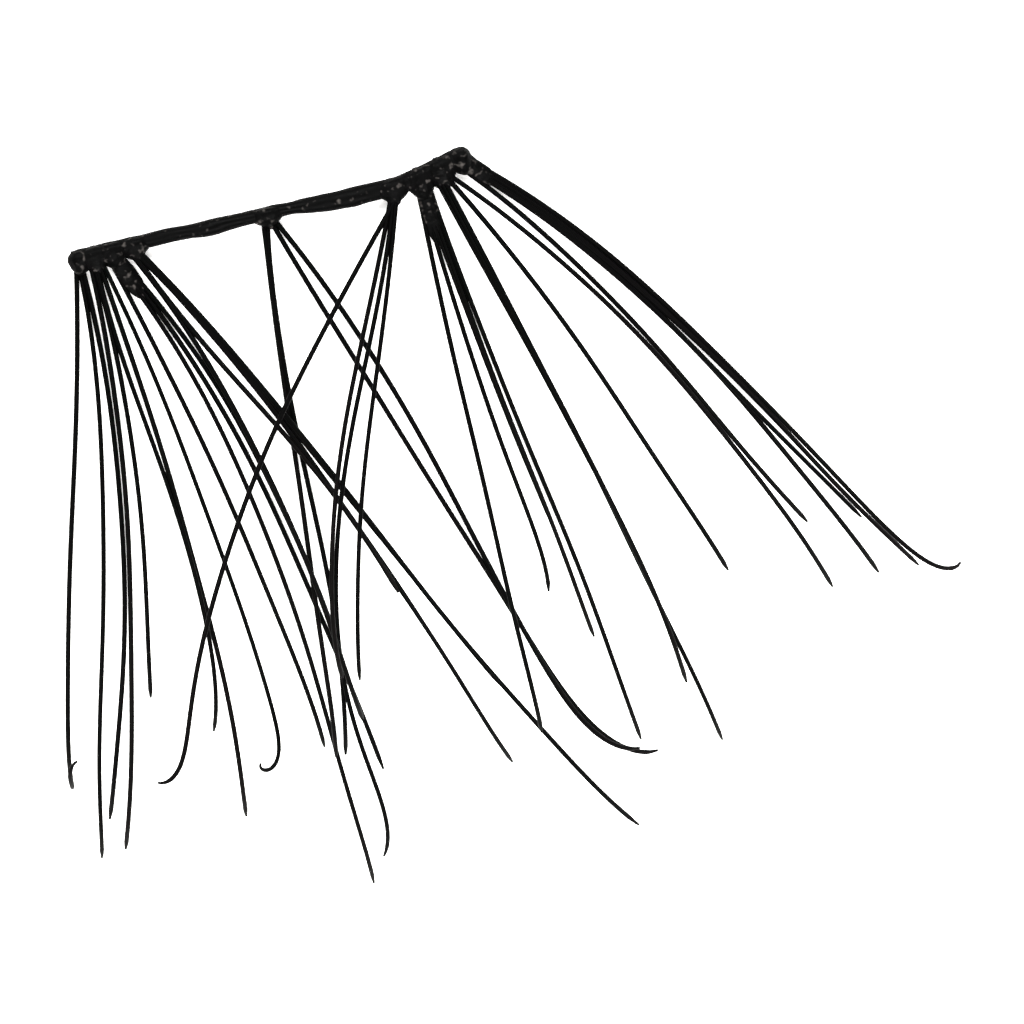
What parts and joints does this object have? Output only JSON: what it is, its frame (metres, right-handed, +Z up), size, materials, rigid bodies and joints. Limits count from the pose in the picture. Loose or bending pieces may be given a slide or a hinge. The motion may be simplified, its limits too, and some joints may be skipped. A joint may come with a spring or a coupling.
{
  "type": "lash cluster",
  "caption": "Short false-lash cluster: a slim glue-stiffened band with knotted tufts of fine tapering black fibres that fan out, cross and curl up at the tips, worn glued along the lash line.",
  "frame": {"origin": "on the surface that the cluster lies on, under the middle of the lone knot in the middle of the band", "axes": "+X along the band towards the end with the widest fan, -Y the way the fibres leave the band, +Z up, the way the tips curl"},
  "size_m": [0.0192, 0.0148, 0.0052],
  "materials": {
    "glued_thread": "black thread soaked in glossy black glue",
    "lash_fibre": "satin black synthetic fibre"
  },
  "bodies": {
    "root": {"band": "glued_thread", "tuft_1": "lash_fibre", "tuft_2": "lash_fibre", "tuft_3": "lash_fibre", "tuft_4": "lash_fibre", "tuft_5": "lash_fibre", "tuft_6": "lash_fibre", "tuft_7": "lash_fibre", "tuft_8": "lash_fibre", "tuft_9": "lash_fibre"}
  },
  "joints": []
}
